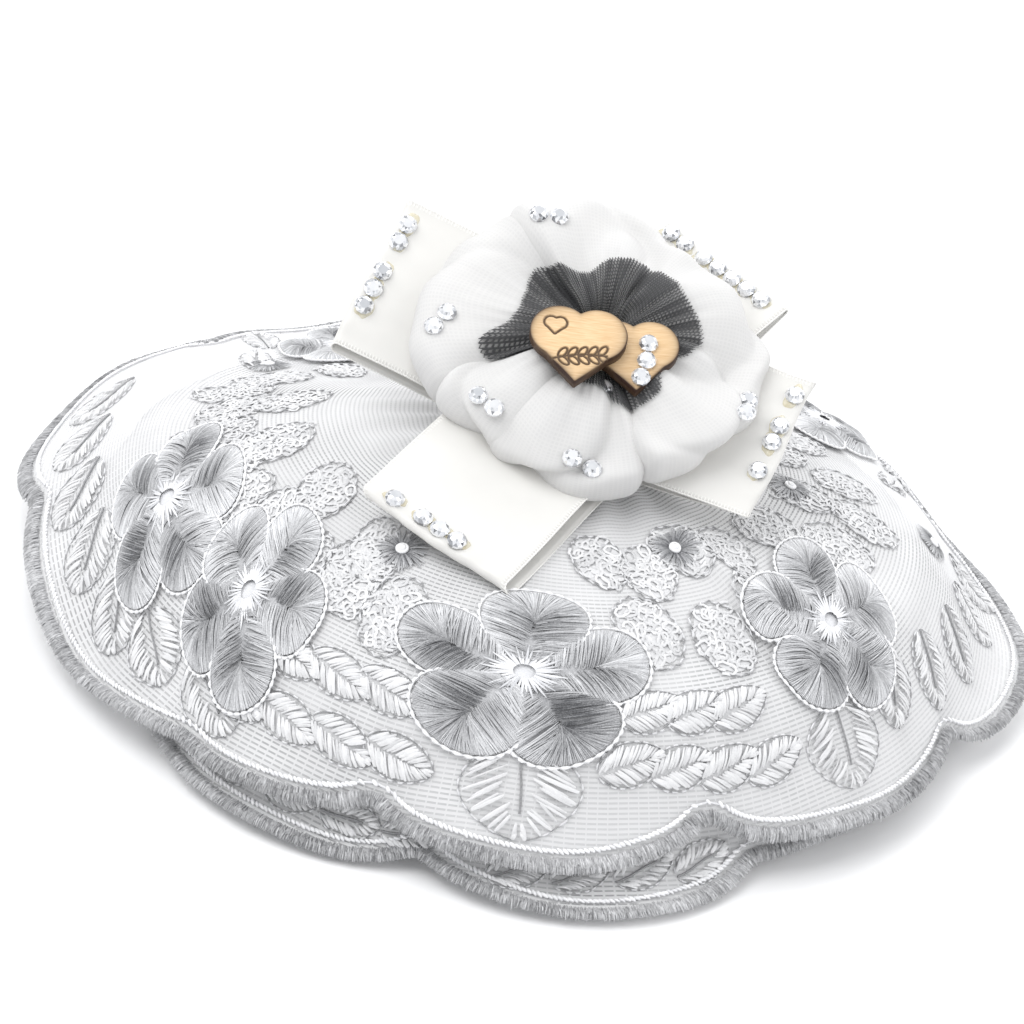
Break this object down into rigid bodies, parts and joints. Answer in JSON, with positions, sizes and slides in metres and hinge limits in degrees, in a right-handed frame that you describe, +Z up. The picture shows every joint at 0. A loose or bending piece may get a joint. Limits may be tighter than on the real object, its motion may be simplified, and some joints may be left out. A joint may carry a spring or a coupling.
{
  "type": "ring bearer pillow",
  "caption": "Round domed cushion under two tiers of scalloped embroidered lace, topped by a ribbon bow with a ruffled rosette, wooden hearts and glued stones.",
  "frame": {"origin": "centre of the flat patch under the cushion, at table height", "axes": "+Z up out of the crown, -Y towards the front, which the bow leans to, +X to the right seen from the front"},
  "size_m": [0.256, 0.2477, 0.0976],
  "materials": {
    "wadding": "matt",
    "cover": "soft satin",
    "tulle": "sheer net",
    "border_thread": "satin stitch",
    "cord_thread": "pearly twisted cord",
    "flower_thread": "satin stitch",
    "leaf_thread": "satin stitch",
    "felt": "matt felt",
    "thread": "plain thread",
    "ribbon": "ivory satin",
    "chiffon": "white chiffon",
    "organza": "charcoal organza",
    "hot_glue": "cloudy",
    "heart_wood": "bare birch with charred edge",
    "stone": "clear facets over silver foil"
  },
  "bodies": {
    "root": {"cushion_fill": "wadding", "cushion_top": "cover", "cushion_bottom": "cover", "lower_tulle": "tulle", "lower_border": "border_thread", "lower_cord": "cord_thread", "lower_leaves": "leaf_thread", "upper_tulle": "tulle", "upper_border": "border_thread", "upper_cord": "cord_thread", "upper_flowers": "flower_thread", "upper_small_flowers": "flower_thread", "upper_leaves": "leaf_thread", "bow_felt": "felt", "bow_knot": "thread", "ribbon_under": "ribbon", "ribbon_over": "ribbon", "rosette_base": "felt", "rosette_white": "chiffon", "rosette_dark": "organza", "rosette_stitches": "thread", "heart_glue": "hot_glue", "heart_front": "heart_wood", "heart_back": "heart_wood", "stones_left": "stone", "stones_front": "stone", "stones_right": "stone", "stones_back": "stone", "stones_rosette": "stone", "stones_heart": "stone", "stone_centre": "stone", "smear_left": "hot_glue", "smear_front": "hot_glue", "smear_right": "hot_glue", "smear_back": "hot_glue"}
  },
  "joints": []
}
